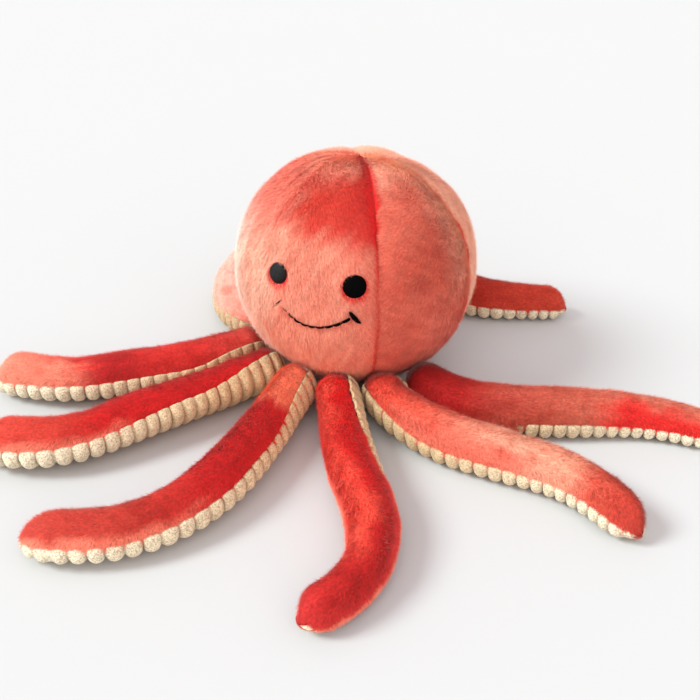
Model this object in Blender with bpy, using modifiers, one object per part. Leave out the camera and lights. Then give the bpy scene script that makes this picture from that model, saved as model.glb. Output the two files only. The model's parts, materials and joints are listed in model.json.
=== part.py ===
"""Plush octopus: a ball head sewn from gores, with eight soft arms around its lower side.

Each arm has a short-pile top, a ribbed cord sole, a stuffing core and the thread that joins the two cloths.
The toy rests on a flat patch under its head and on the soles of its arms. Metres, +Z up, face towards -Y,
origin on the resting plane under the middle of the head.
"""
import math

import bmesh
import bpy
import numpy as np
from mathutils import Matrix, Vector
from mathutils.bvhtree import BVHTree

# Cloth, thread and sewing clearances
PILE_CLOTH = 0.0025
CORD_CLOTH = 0.0022
SEAM_GAP = 0.0003
STUFFING_GAP = 0.0006
HEAD_STUFFING_GAP = 0.0013
THREAD_WIDTH = 0.0008
WELD_DISTANCE = 0.00001

# Head
HEAD_RADIUS = 0.054
BASE_FLAT_DEPTH = 0.004
HEAD_CENTRE_HEIGHT = HEAD_RADIUS - BASE_FLAT_DEPTH
GORE_COUNT = 6
SEAM_GROOVE_DEPTH = 0.0024
SEAM_GROOVE_REACH = 0.009
CROWN_DIP_DEPTH = 0.0035
CROWN_DIP_REACH = 0.016
CROWN_HOLE_RADIUS = 0.0024
BASE_PATCH_RADIUS = 0.027
GORE_ACROSS_SHARES = (-1, -0.66, 0, 0.66, 1)
GORE_RINGS = 11
STUFFING_SEGMENTS = 24
STUFFING_RINGS = 11
PATCH_STEPS = 24
SEAM_OPENING_DEG = 2.2

# Face, in degrees round the head from the middle of the face and up from its equator
EYE_WIDTH = 0.0096
EYE_THICKNESS = 0.0012
EYE_AZIMUTH_DEG = 19
EYE_LATITUDE_DEG = 17.4
SMILE_THREAD_WIDTH = 0.0012
SMILE_HALF_ANGLE_DEG = 15.6
SMILE_END_LATITUDE_DEG = 3.4
SMILE_LOWEST_LATITUDE_DEG = -2.8
SMILE_POINTS = 11
CORNER_STITCH_LENGTH = 0.0072
CORNER_STITCH_LEAN_DEG = 42

# Arms: the sizes that all eight share
ARM_ROOT_RADIUS = 0.0095
ARM_BELLY_HALF_WIDTH = 0.0108
ARM_BELLY_HALF_HEIGHT = 0.0104
ARM_TIP_RADIUS = 0.0088
ARM_BELLY_SHARE = 0.42
ROOT_RISE = 0.0025
ROOT_RISE_SHARE = 0.3
SEAM_DROP = 0.0042
RIB_PITCH = 0.0063
RIB_DEPTH = 0.0020
ARM_BODY_SPANS = 9
PATH_STEPS = 400
SEATING_STEPS = 12
ROOT_RING_SHARES = (0.8,)
TIP_RING_SHARES = (0.55, 0.87)

# Section of an arm, as shares of its half width and of its height above or depth below the seam
TOP_OUTER_DEG = (0, 36, 72, 108, 144, 180)
TOP_INNER_DEG = (180, 128, 90, 52, 0)
SOLE_ACROSS_SHARES = (-1, -0.9, -0.46, 0.46, 0.9, 1)
SOLE_DEPTH_SHARES = (0, 0.64, 1, 1, 0.64, 0)
SOLE_INNER_ACROSS_SHARES = (0.62, -0.62)
CORE_ARC_DEG = (52, 90, 128)
CORE_FLOOR_SHARE = 0.54

# Arms: where each leaves the head, its turn from straight out, its length from hinge to tip, and how far
# its heading has bent at even steps from root to tip. Counted round from the front; degrees and metres.
ARMS = (
    ("arm_1", 281, 18, 0.128, (0, 2, 5, -11, -42, -71)),
    ("arm_2", 304, 11, 0.125, (0, 23, 36, 36, 13, -4)),
    ("arm_3", 327, 6, 0.126, (0, 28, 41, 43, 29, 12)),
    ("arm_4", 105, -6, 0.116, (0, -76, -124, -102, -80, -92)),
    ("arm_5", 186, -35, 0.124, (0, -26, -48, -70, -96, -122)),
    ("arm_6", 212, 12, 0.118, (0, 0, -8, -14, -34, -38)),
    ("arm_7", 235, 12, 0.127, (0, -12, -14, -15, -42, -77)),
    ("arm_8", 258, 10, 0.146, (0, -1, -5, -28, -60, -84)),
)

# Colours, as linear red, green and blue
CORAL_PLUSH = (0.80, 0.16, 0.11, 1)
SALMON_PLUSH = (0.87, 0.30, 0.22, 1)
RED_PLUSH = (0.72, 0.06, 0.05, 1)
CREAM_CORD = (0.66, 0.56, 0.42, 1)
BLACK_THREAD = (0.010, 0.010, 0.012, 1)
CORAL_THREAD = (0.60, 0.10, 0.08, 1)
WHITE_FIBRE = (0.86, 0.85, 0.82, 1)

for scene_object in list(bpy.data.objects):
    bpy.data.objects.remove(scene_object, do_unlink=True)

toy = bpy.data.collections.new("plush_octopus")
bpy.context.scene.collection.children.link(toy)


def finished(obj, colour, roughness):
    """Puts an object in the toy's collection with a material of its own."""
    material = bpy.data.materials.new(obj.name + "_cloth")
    material.use_nodes = True
    shader = material.node_tree.nodes["Principled BSDF"]
    shader.inputs["Base Color"].default_value = colour
    shader.inputs["Roughness"].default_value = roughness
    shader.inputs["Metallic"].default_value = 0
    material.diffuse_color = colour
    obj.data.materials.clear()
    obj.data.materials.append(material)
    for collection in list(obj.users_collection):
        collection.objects.unlink(obj)
    toy.objects.link(obj)
    return obj


def mesh_object(name, mesh_data, colour, roughness=0.9):
    """A named, smooth shaded object from a bmesh, which is freed."""
    bmesh.ops.recalc_face_normals(mesh_data, faces=mesh_data.faces)
    mesh = bpy.data.meshes.new(name)
    mesh_data.to_mesh(mesh)
    mesh_data.free()
    mesh.shade_smooth()
    return finished(bpy.data.objects.new(name, mesh), colour, roughness)


def thread_object(name, points, width, colour, closed=False):
    """A thread as a round tube through its points, closed into a ring or with its ends filled."""
    curve = bpy.data.curves.new(name, "CURVE")
    curve.dimensions = "3D"
    curve.bevel_depth = width / 2
    curve.bevel_resolution = 1
    curve.use_fill_caps = not closed
    line = curve.splines.new("POLY")
    line.points.add(len(points) - 1)
    for spot, place in zip(line.points, points):
        spot.co = (*place, 1)
    line.use_cyclic_u = closed
    return finished(bpy.data.objects.new(name, curve), colour, 0.6)


def smooth_step(share):
    """0 up to a share of 0, 1 from a share of 1, and a smooth rise between."""
    held = np.clip(share, 0, 1)
    return held * held * (3 - 2 * held)


# Head

def head_radius(from_middle, polar, groove_depth=SEAM_GROOVE_DEPTH):
    """Distance of the head's cloth from its centre.

    A ball, less a groove that deepens as the square towards each gore's edge and a dip round the crown.
    from_middle is the angle from the gore's middle line, and polar the angle down from the crown.
    """
    to_seam = (math.pi / GORE_COUNT - np.abs(from_middle)) * HEAD_RADIUS * np.sin(polar)
    groove = groove_depth * np.clip(1 - to_seam / SEAM_GROOVE_REACH, 0, 1) ** 2
    dip = CROWN_DIP_DEPTH * np.exp(-(HEAD_RADIUS * polar / CROWN_DIP_REACH) ** 2)
    return HEAD_RADIUS - groove - dip


def head_point(azimuth, polar, distance):
    """A point at a distance from the head's centre, by its azimuth and its angle down from the crown."""
    flat = distance * math.sin(polar)
    height = HEAD_CENTRE_HEIGHT + distance * math.cos(polar)
    return Vector((flat * math.cos(azimuth), flat * math.sin(azimuth), height))


FACE_AZIMUTH = -math.pi / 2
CROWN_POLAR = math.asin(CROWN_HOLE_RADIUS / HEAD_RADIUS)
BASE_POLAR = math.pi - math.asin(BASE_PATCH_RADIUS / HEAD_RADIUS)
GORE_POLARS = np.linspace(CROWN_POLAR, BASE_POLAR, GORE_RINGS)


def add_gore(number):
    """One gore: a grid laid on the grooved ball between two seams, with its thickness turned inwards."""
    middle = FACE_AZIMUTH + (number - 1) * math.tau / GORE_COUNT
    sheet = bmesh.new()
    across, down = len(GORE_ACROSS_SHARES), GORE_RINGS
    bmesh.ops.create_grid(sheet, x_segments=across - 1, y_segments=down - 1, size=1)
    for vert in sheet.verts:
        column = round((vert.co.x + 1) / 2 * (across - 1))
        polar = float(GORE_POLARS[round((vert.co.y + 1) / 2 * (down - 1))])
        seam_angle = math.pi / GORE_COUNT - SEAM_GAP / 2 / (HEAD_RADIUS * math.sin(polar))
        from_middle = GORE_ACROSS_SHARES[column] * seam_angle
        distance = float(head_radius(from_middle, polar))
        vert.co = head_point(middle + from_middle, polar, distance)
    bmesh.ops.reverse_faces(sheet, faces=sheet.faces)
    mesh = bpy.data.meshes.new(f"head_gore_{number}")
    sheet.to_mesh(mesh)
    sheet.free()
    mesh.shade_smooth()
    gore = bpy.data.objects.new(mesh.name, mesh)
    wall = gore.modifiers.new("cloth", "SOLIDIFY")
    wall.thickness = PILE_CLOTH
    wall.offset = -1
    colour = SALMON_PLUSH if number == 1 else CORAL_PLUSH
    return finished(gore, colour, 0.95)


def add_gore_seam(number):
    """The thread between two gores, lying in the opening between their turned-in edges."""
    azimuth = FACE_AZIMUTH + (number - 0.5) * math.tau / GORE_COUNT
    edge = math.pi / GORE_COUNT
    points = []
    for polar in GORE_POLARS[1:-1]:
        surface = float(head_radius(edge, polar))
        points.append(head_point(azimuth, float(polar), surface - PILE_CLOTH + THREAD_WIDTH / 2))
    return thread_object(f"head_seam_thread_{number}", points, THREAD_WIDTH, CORAL_THREAD)


def add_base_patch():
    """The round patch under the head: flat where it rests, then up the ball to its seam with the gores."""
    flat_radius = math.sqrt(HEAD_RADIUS ** 2 - HEAD_CENTRE_HEIGHT ** 2)
    outer_polar = BASE_POLAR + SEAM_GAP / HEAD_RADIUS
    inner_polar = outer_polar + math.radians(SEAM_OPENING_DEG)
    outer = head_point(0, outer_polar, HEAD_RADIUS)
    inner = head_point(0, inner_polar, HEAD_RADIUS - PILE_CLOTH)
    profile = (
        (0, 0), (flat_radius, 0), (outer.x, outer.z), (inner.x, inner.z),
        (flat_radius - PILE_CLOTH, PILE_CLOTH), (0, PILE_CLOTH),
    )
    mesh = bpy.data.meshes.new("head_base_patch")
    corners = [(across, 0, height) for across, height in reversed(profile)]
    mesh.from_pydata(corners, [(i, i + 1) for i in range(len(corners) - 1)], [])
    patch = bpy.data.objects.new(mesh.name, mesh)
    turn = patch.modifiers.new("turned", "SCREW")
    turn.steps = PATCH_STEPS
    turn.render_steps = PATCH_STEPS
    turn.use_merge_vertices = True
    turn.merge_threshold = WELD_DISTANCE
    turn.use_smooth_shade = True
    return finished(patch, CORAL_PLUSH, 0.95)


def add_base_seam():
    """The thread ring between the gores' lower edges and the base patch."""
    polar = BASE_POLAR + math.radians(SEAM_OPENING_DEG) / 2
    place = head_point(0, polar, HEAD_RADIUS - PILE_CLOTH + THREAD_WIDTH / 2)
    bpy.ops.mesh.primitive_torus_add(
        location=(0, 0, place.z), major_radius=place.x, minor_radius=THREAD_WIDTH / 2,
        major_segments=PATCH_STEPS, minor_segments=6)
    ring = bpy.context.object
    ring.name = "head_base_thread"
    ring.data.shade_smooth()
    return finished(ring, CORAL_THREAD, 0.6)


def add_head_stuffing():
    """The ball of fibre that fills the head, grooved under each seam and flat on the base patch."""
    ball = bmesh.new()
    bmesh.ops.create_uvsphere(ball, u_segments=STUFFING_SEGMENTS, v_segments=STUFFING_RINGS, radius=1)
    gore = math.tau / GORE_COUNT
    seam_depth = SEAM_GROOVE_DEPTH + THREAD_WIDTH
    for vert in ball.verts:
        polar = math.acos(max(-1, min(1, vert.co.z)))
        azimuth = math.atan2(vert.co.y, vert.co.x) - FACE_AZIMUTH
        from_middle = (azimuth + gore / 2) % gore - gore / 2
        cloth = float(head_radius(from_middle, polar, seam_depth))
        place = head_point(azimuth + FACE_AZIMUTH, polar, cloth - PILE_CLOTH - HEAD_STUFFING_GAP)
        place.z = max(place.z, PILE_CLOTH + STUFFING_GAP)
        vert.co = place
    return mesh_object("head_stuffing", ball, WHITE_FIBRE, 1)


def add_crown_knot():
    """The knot that draws the six gores together at the crown."""
    knot = bmesh.new()
    radius = CROWN_HOLE_RADIUS - SEAM_GAP
    bmesh.ops.create_uvsphere(knot, u_segments=10, v_segments=6, radius=radius)
    surface = float(head_radius(0, CROWN_POLAR))
    squash = Matrix.Diagonal((1, 1, PILE_CLOTH / 2 / radius, 1))
    place = Matrix.Translation(head_point(0, 0, surface - PILE_CLOTH / 2))
    bmesh.ops.transform(knot, matrix=place @ squash, verts=knot.verts)
    return mesh_object("crown_knot", knot, CORAL_THREAD, 0.7)


# Face

def face_point(azimuth_deg, latitude_deg, stand):
    """A point in front of the face gore, by degrees from the face's middle, standing off the cloth."""
    polar = math.pi / 2 - math.radians(latitude_deg)
    return head_point(FACE_AZIMUTH + math.radians(azimuth_deg), polar, HEAD_RADIUS + stand)


def add_eye(name, side):
    """A padded round of black satin stitches, lying on the face."""
    pad = bmesh.new()
    bmesh.ops.create_uvsphere(pad, u_segments=18, v_segments=8, radius=1)
    azimuth = side * EYE_AZIMUTH_DEG
    place = face_point(azimuth, EYE_LATITUDE_DEG, SEAM_GAP + EYE_THICKNESS / 2)
    outwards = (place - head_point(0, 0, 0)).to_track_quat("Z", "Y").to_matrix().to_4x4()
    size = Matrix.Diagonal((EYE_WIDTH / 2, EYE_WIDTH / 2, EYE_THICKNESS / 2, 1))
    bmesh.ops.transform(pad, matrix=Matrix.Translation(place) @ outwards @ size, verts=pad.verts)
    return mesh_object(name, pad, BLACK_THREAD, 0.45)


def smile_latitude(share):
    """The smile's latitude: lowest in the middle, and up as the square towards its ends at -1 and 1."""
    return SMILE_LOWEST_LATITUDE_DEG + (SMILE_END_LATITUDE_DEG - SMILE_LOWEST_LATITUDE_DEG) * share ** 2


def add_smile():
    """The stitched smile."""
    stand = SEAM_GAP + SMILE_THREAD_WIDTH / 2
    points = []
    for share in np.linspace(-1, 1, SMILE_POINTS):
        points.append(face_point(share * SMILE_HALF_ANGLE_DEG, smile_latitude(share), stand))
    return thread_object("smile_thread", points, SMILE_THREAD_WIDTH, BLACK_THREAD)


def add_corner_stitch(name, side):
    """The short stitch across one end of the smile, one thread's width and a gap past it."""
    stand = SEAM_GAP + SMILE_THREAD_WIDTH / 2
    past_end = math.degrees((SMILE_THREAD_WIDTH + SEAM_GAP) / math.cos(
        math.radians(CORNER_STITCH_LEAN_DEG)) / HEAD_RADIUS)
    reach = math.degrees(CORNER_STITCH_LENGTH / 2 / HEAD_RADIUS)
    lean = math.radians(CORNER_STITCH_LEAN_DEG)
    middle = side * (SMILE_HALF_ANGLE_DEG + past_end)
    points = []
    for step in (-1, 0, 1):
        azimuth = middle + side * step * reach * math.sin(lean)
        latitude = SMILE_END_LATITUDE_DEG - step * reach * math.cos(lean)
        points.append(face_point(azimuth, latitude, stand))
    return thread_object(name, points, SMILE_THREAD_WIDTH, BLACK_THREAD)


# Arms

ROOT_HEIGHT = ARM_ROOT_RADIUS + ROOT_RISE


def seated_root(azimuth, cloths):
    """Middle of an arm's round root, drawn in along its azimuth to a seam gap off the sewn gores."""
    away = HEAD_RADIUS + ARM_ROOT_RADIUS
    for _ in range(SEATING_STEPS):
        place = Vector((away * math.cos(azimuth), away * math.sin(azimuth), ROOT_HEIGHT))
        nearest = min(cloth.find_nearest(place)[3] for cloth in cloths)
        away -= nearest - ARM_ROOT_RADIUS - SEAM_GAP
    return place


def add_hinge(name, azimuth_deg, splay_deg, cloths):
    """The place where an arm is sewn to the head: its X axis runs out along the arm's root."""
    hinge = bpy.data.objects.new(name + "_hinge", None)
    azimuth = math.radians(azimuth_deg)
    hinge.location = seated_root(azimuth, cloths)
    hinge.rotation_euler = (0, 0, azimuth + math.radians(splay_deg))
    toy.objects.link(hinge)
    return hinge


class Arm:
    """One arm's centre line and sections, in its hinge's frame: X out along the root and Z up."""

    def __init__(self, length, bends_deg):
        self.length = length
        self.body = length - ARM_TIP_RADIUS
        self.steps = np.linspace(0, length, PATH_STEPS)
        self.heading = self.curve_through(np.radians(bends_deg), self.steps / length)
        step = self.steps[1]
        middle = (self.heading[1:] + self.heading[:-1]) / 2
        self.x = np.concatenate([[0], np.cumsum(np.cos(middle) * step)])
        self.y = np.concatenate([[0], np.cumsum(np.sin(middle) * step)])

    @staticmethod
    def curve_through(values, share):
        """The cubic through evenly spaced values, with each slope taken from its two neighbours."""
        spans = len(values) - 1
        slope = np.gradient(values)
        first = np.clip((share * spans).astype(int), 0, spans - 1)
        t = share * spans - first
        rise = smooth_step(t)
        leave = t * (1 - t) ** 2 * slope[first]
        arrive = t * t * (1 - t) * slope[first + 1]
        return values[first] * (1 - rise) + values[first + 1] * rise + leave - arrive

    def swell(self, along, belly, inset):
        """Half size along the arm: the root's, out to the belly's, then down to the tip's, less an inset."""
        share = along / self.body
        to_belly = smooth_step(share / ARM_BELLY_SHARE)
        to_tip = smooth_step((share - ARM_BELLY_SHARE) / (1 - ARM_BELLY_SHARE))
        full = ARM_ROOT_RADIUS + (belly - ARM_ROOT_RADIUS) * to_belly + (ARM_TIP_RADIUS - belly) * to_tip
        return full - inset

    def rounding(self, along, inset):
        """1 along the arm and a quarter circle down to 0 at each end, which an inset draws in."""
        past_root = np.clip(-along / (ARM_ROOT_RADIUS - inset), 0, 1)
        past_tip = np.clip((along - self.body) / (ARM_TIP_RADIUS - inset), 0, 1)
        return np.sqrt(np.clip(1 - past_root ** 2 - past_tip ** 2, 0, 1))

    def half_width(self, along, inset=0):
        return self.swell(along, ARM_BELLY_HALF_WIDTH, inset) * self.rounding(along, inset)

    def laid(self, along):
        """0 at the root, which stands off the resting plane, and 1 where the arm lies on it."""
        return smooth_step(along / self.length / ROOT_RISE_SHARE)

    def seam_height(self, along):
        """Height of the seam over the hinge: at an arm's mid height at its root, and lower where it lies.

        It runs straight between the rings of the top, so that the closer rings of the sole follow it.
        """
        knots = np.linspace(0, self.body, ARM_BODY_SPANS + 1)
        laid = self.laid(knots)
        tall = self.swell(knots, ARM_BELLY_HALF_HEIGHT, 0)
        heights = tall + ROOT_RISE * (1 - laid) - SEAM_DROP * laid - ROOT_HEIGHT
        return np.interp(along, knots, heights)

    def dome(self, along, inset=0):
        """Height of the top over the seam."""
        tall = self.swell(along, ARM_BELLY_HALF_HEIGHT, inset)
        return (tall + SEAM_DROP * self.laid(along)) * self.rounding(along, inset)

    def keel(self, along, inset=0):
        """Depth of the sole under the seam."""
        tall = self.swell(along, ARM_BELLY_HALF_HEIGHT, inset)
        return (tall - SEAM_DROP * self.laid(along)) * self.rounding(along, inset)

    def places(self, along, across, height):
        """Points in the hinge's frame, by length along the arm, width to its left and height."""
        heading = np.interp(along, self.steps, self.heading)
        x = np.interp(along, self.steps, self.x) + np.minimum(along, 0)
        y = np.interp(along, self.steps, self.y)
        spots = np.broadcast_arrays(x[:, None] - np.sin(heading)[:, None] * across,
                                    y[:, None] + np.cos(heading)[:, None] * across, height)
        return np.stack(spots, axis=-1)

    def stations(self, spans, inset=0):
        """Lengths of the rings: one in the round root, evenly along the body, and two in the tip."""
        root = [-share * (ARM_ROOT_RADIUS - inset) for share in ROOT_RING_SHARES]
        tip = [self.body + share * (ARM_TIP_RADIUS - inset) for share in TIP_RING_SHARES]
        return np.array([*root, *np.linspace(0, self.body, spans + 1), *tip])

    def ends(self, inset=0):
        """The two points where a skin closes, in the round root and in the tip."""
        along = np.array([-(ARM_ROOT_RADIUS - inset), self.length - inset])
        return self.places(along, 0, self.seam_height(along)[:, None])[:, 0]


def lofted(name, rings, outer_count, outer_ends, inner_ends, colour):
    """A closed skin over rings of points, drawn together at both ends.

    The first outer_count points of a ring are its outer side and close on the outer ends; the rest are its
    inner side and close on the inner ends, with the cloth's cut edge between them.
    """
    skin = bmesh.new()
    verts = [[skin.verts.new(point) for point in ring] for ring in rings]
    size = len(verts[0])
    for ring, following in zip(verts, verts[1:]):
        for i in range(size):
            j = (i + 1) % size
            skin.faces.new((ring[i], ring[j], following[j], following[i]))
    for ring, outer_end, inner_end in zip((verts[0], verts[-1]), outer_ends, inner_ends):
        outer = skin.verts.new(outer_end)
        inner = skin.verts.new(inner_end) if outer_count < size else outer
        for i in range(size):
            j = (i + 1) % size
            near, far = (outer if k < outer_count else inner for k in (i, j))
            corners = (ring[i], ring[j], far, near) if near is not far else (ring[i], ring[j], near)
            skin.faces.new(corners)
    return mesh_object(name, skin, colour)


def add_arm_top(name, arm, hinge, colour):
    """The plush top: an arch over the seam line, with its wall turned inwards."""
    layers = []
    for angles_deg, inset in ((TOP_OUTER_DEG, 0), (TOP_INNER_DEG, PILE_CLOTH)):
        angle = np.radians(angles_deg)
        along = arm.stations(ARM_BODY_SPANS, inset)
        across = arm.half_width(along, inset)[:, None] * np.cos(angle)
        height = arm.dome(along, inset)[:, None] * np.sin(angle)
        # the arch stands half a seam gap over the seam line
        lift = arm.seam_height(along)[:, None] + SEAM_GAP / 2
        layers.append(arm.places(along, across, height + lift))
    rings = np.concatenate(layers, axis=1)
    outer_ends, inner_ends = arm.ends(), arm.ends(PILE_CLOTH)
    outer_ends[:, 2] += SEAM_GAP / 2
    inner_ends[:, 2] += SEAM_GAP / 2
    top = lofted(name + "_top", rings, len(TOP_OUTER_DEG), outer_ends, inner_ends, colour)
    top.parent = hinge


def add_arm_sole(name, arm, hinge):
    """The cord sole: ribs across the arm under the seam line, and a dished inner face."""
    ribs = round(arm.body / RIB_PITCH)
    spans = 2 * ribs
    along = arm.stations(spans)
    first = len(ROOT_RING_SHARES)
    valley = np.zeros(len(along))
    valley[first:first + spans + 1:2] = RIB_DEPTH
    keel = arm.keel(along) - valley
    side = np.array(SOLE_ACROSS_SHARES)
    sunk = np.where(np.abs(side) < 1, valley[:, None], 0)
    across = (arm.half_width(along)[:, None] - sunk) * side
    height = -keel[:, None] * np.array(SOLE_DEPTH_SHARES)
    # the sole hangs half a seam gap under the seam line
    lift = arm.seam_height(along)[:, None] - SEAM_GAP / 2
    # the ribs lie on the plane that the base patch rests on
    outer = arm.places(along, across, np.maximum(height + lift, -ROOT_HEIGHT))
    inner_along = arm.stations(spans, CORD_CLOTH)
    inner_across = arm.half_width(inner_along, CORD_CLOTH)[:, None] * np.array(SOLE_INNER_ACROSS_SHARES)
    dish = np.maximum(arm.keel(inner_along, CORD_CLOTH) - RIB_DEPTH, 0)[:, None]
    inner_lift = arm.seam_height(inner_along)[:, None] - SEAM_GAP / 2
    inner = arm.places(inner_along, inner_across, inner_lift - dish)
    rings = np.concatenate([outer, inner], axis=1)
    outer_ends, inner_ends = arm.ends(), arm.ends(CORD_CLOTH)
    outer_ends[:, 2] -= SEAM_GAP / 2
    inner_ends[:, 2] -= SEAM_GAP / 2
    sole = lofted(name + "_sole", rings, len(SOLE_ACROSS_SHARES), outer_ends, inner_ends, CREAM_CORD)
    sole.parent = hinge


def add_arm_stuffing(name, arm, hinge):
    """The fibre core between top and sole, drawn in beside the seam thread."""
    inset = PILE_CLOTH + SEAM_GAP
    beside_thread = inset + THREAD_WIDTH + SEAM_GAP
    along = arm.stations(ARM_BODY_SPANS, beside_thread)
    angle = np.radians(CORE_ARC_DEG)
    arc_across = arm.half_width(along, beside_thread)[:, None] * np.cos(angle)
    arc_height = (arm.dome(along, beside_thread) + THREAD_WIDTH)[:, None] * np.sin(angle)
    edge = arm.half_width(along, beside_thread)[:, None] * np.array([-1, 1])
    floor_across = edge * CORE_FLOOR_SHARE
    dish = np.maximum(arm.keel(along, CORD_CLOTH) - RIB_DEPTH - STUFFING_GAP, 0)[:, None]
    zero = np.zeros_like(dish)
    across = np.concatenate([edge[:, 1:], arc_across, edge[:, :1], floor_across], axis=1)
    height = np.concatenate([zero, arc_height, zero, -dish, -dish], axis=1)
    lift = arm.seam_height(along)[:, None] + SEAM_GAP
    rings = arm.places(along, across, height + lift)
    ends = arm.ends(beside_thread)
    core = lofted(name + "_stuffing", rings, rings.shape[1], ends, ends, WHITE_FIBRE)
    core.parent = hinge


def add_arm_thread(name, arm, hinge):
    """The thread that joins top and sole: a ring just inside the seam, round the root and the tip."""
    inset = PILE_CLOTH + SEAM_GAP + THREAD_WIDTH / 2
    along = arm.stations(ARM_BODY_SPANS, inset)
    width = arm.half_width(along, inset)[:, None]
    height = arm.seam_height(along)[:, None] + THREAD_WIDTH / 2
    left = arm.places(along, width, height)[:, 0]
    right = arm.places(along, -width, height)[:, 0]
    ends = arm.ends(inset)
    ends[:, 2] += THREAD_WIDTH / 2
    points = [*left, ends[1], *right[::-1], ends[0]]
    thread = thread_object(name + "_seam_thread", points, THREAD_WIDTH, CORAL_THREAD, closed=True)
    thread.parent = hinge


def build_toy():
    gores = [add_gore(number) for number in range(1, GORE_COUNT + 1)]
    for number in range(1, GORE_COUNT + 1):
        add_gore_seam(number)
    add_base_patch()
    add_base_seam()
    add_head_stuffing()
    add_crown_knot()
    for side_name, side in (("left", 1), ("right", -1)):
        add_eye("eye_" + side_name, side)
        add_corner_stitch("smile_corner_" + side_name, side)
    add_smile()
    sewn = bpy.context.evaluated_depsgraph_get()
    cloths = [BVHTree.FromObject(gore, sewn) for gore in gores]
    for name, azimuth, splay, length, bends in ARMS:
        hinge = add_hinge(name, azimuth, splay, cloths)
        arm = Arm(length, bends)
        add_arm_top(name, arm, hinge, RED_PLUSH)
        add_arm_sole(name, arm, hinge)
        add_arm_stuffing(name, arm, hinge)
        add_arm_thread(name, arm, hinge)


build_toy()
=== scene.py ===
"""Looks of the plush octopus: six pile gores round its head, eight arms with pile tops and cord soles, and a
stitched face.

Every cloth is a surface worked out on a grid from the sizes that the solids have. The pile is real: each tuft
is a tapered blade rooted in its cloth. Metres, +Z up, face towards -Y.
"""
import itertools
import json
import math

import bpy
import numpy as np
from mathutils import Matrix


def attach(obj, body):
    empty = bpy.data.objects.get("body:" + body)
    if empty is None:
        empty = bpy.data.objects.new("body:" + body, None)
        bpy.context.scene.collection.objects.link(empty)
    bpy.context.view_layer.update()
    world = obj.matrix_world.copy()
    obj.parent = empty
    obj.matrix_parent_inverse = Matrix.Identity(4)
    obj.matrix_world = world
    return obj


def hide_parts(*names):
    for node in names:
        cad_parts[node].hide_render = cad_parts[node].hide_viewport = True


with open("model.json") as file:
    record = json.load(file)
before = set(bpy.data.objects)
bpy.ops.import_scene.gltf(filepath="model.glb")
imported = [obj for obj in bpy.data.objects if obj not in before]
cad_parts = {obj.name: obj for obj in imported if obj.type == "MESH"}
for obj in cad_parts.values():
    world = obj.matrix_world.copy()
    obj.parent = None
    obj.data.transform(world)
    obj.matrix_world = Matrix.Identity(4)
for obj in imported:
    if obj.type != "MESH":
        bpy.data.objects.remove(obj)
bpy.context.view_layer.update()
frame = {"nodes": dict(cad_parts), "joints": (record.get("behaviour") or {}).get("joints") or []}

# Camera and light: where the photograph was taken from, with its window on the left
CAMERA_PLACE = (0.13326, -0.37399, 0.26084)
CAMERA_TURN_DEG = (57, 0, 20)
LENS_MM = 51.43
# each lamp's name, turn in degrees, spread in degrees, strength and colour
LAMPS = (
    ("window", (49, 0, -62), 22, 2.85, (0.925, 1.034, 1.034)),
    ("front_screen", (64, 0, 26), 90, 1.15, (1, 1, 1)),
)
ROOM_STRENGTH = 0.92
ROOM_COLOUR = (1.05, 0.977, 0.977, 1)
FLOOR_WIDTH = 60.0
FLOOR_COLOUR = (0.555, 0.555, 0.555)

# Head, as the solids have it
HEAD_RADIUS = 0.054
HEAD_MIDDLE = np.array([0, 0, 0.050])
GORE_COUNT = 6
SEAM_GROOVE_DEPTH = 0.0024
SEAM_GROOVE_REACH = 0.009
CROWN_DIP_DEPTH = 0.0028
CROWN_TILT_DEG = 7
BACK_DROP = 0.0022
CROWN_DIP_REACH = 0.016
FACE_AZIMUTH = -math.pi / 2
BASE_PATCH_RADIUS = 0.027
BASE_POLAR = math.pi - math.asin(BASE_PATCH_RADIUS / HEAD_RADIUS)

# Face, in degrees round the head from the middle of the face and up from its equator
EYE_RADII = (0.0044, 0.0048)
EYE_SPOTS = ((-19, 17.4), (19, 17.4))
SMILE_ENDS = (15.6, 17.3)
SMILE_END_LATITUDE = 3.4
SMILE_LOWEST_LATITUDE = -2.8
CORNER_STITCH_LENGTH = 0.0072
CORNER_LEAN_DEG = 42

# Arms, as the solids have them
ARM_ROOT_RADIUS = 0.0095
ARM_BELLY_HALF_WIDTH = 0.0108
ARM_BELLY_HALF_HEIGHT = 0.0104
ARM_TIP_RADIUS = 0.0088
ARM_BELLY_SHARE = 0.42
ROOT_RISE = 0.0025
ROOT_RISE_SHARE = 0.3
SEAM_DROP = 0.0042
RIB_PITCH = 0.0057
RIB_DEPTH = 0.0028
CORD_BULGE = 1.03
CORD_RISE_DEG = 22
ARM_BODY_SPANS = 9

# Pile: tufts to the square metre, the size of one tuft, how far its cloth and the stuffing lie under the
# surface of the solids, how far a cloth's hems turn in, the tufts' lean from upright, the share of them that
# stray and by how much, and the least height over the floor
PILE_COUNT = 10e6
PILE_LENGTH = 0.0027
BASE_PILE_LENGTH = 0.0018
PILE_WIDTH = 0.00027
CLOTH_INSET = 0.0013
STUFFING_INSET = 0.0032
HEAD_HEM_SHARE = 0.965
ARM_HEM_SHARE = 0.52
ARM_HEM_DROP = 0.0012
PILE_LEAN_DEG = 65
STRAY_SHARE = 0.12
STRAY_LIFT_DEG = 26
RESTING_HEIGHT = 0.0001
MAP_MARGIN = 0.02

# Seam thread and black thread: radius, and the length of one twist
SEAM_THREAD_RADIUS = 0.0004
THREAD_TWIST = 0.0016


def dyed(red, green, blue):
    """Linear colour, from its red, green and blue out of 255 as a screen shows them: the colour of a dye, and
    for some tints painted light and shade.
    """
    shown = np.array([red, green, blue]) / 255
    return np.where(shown <= 0.04045, shown / 12.92, ((shown + 0.055) / 1.055) ** 2.4)


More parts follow.
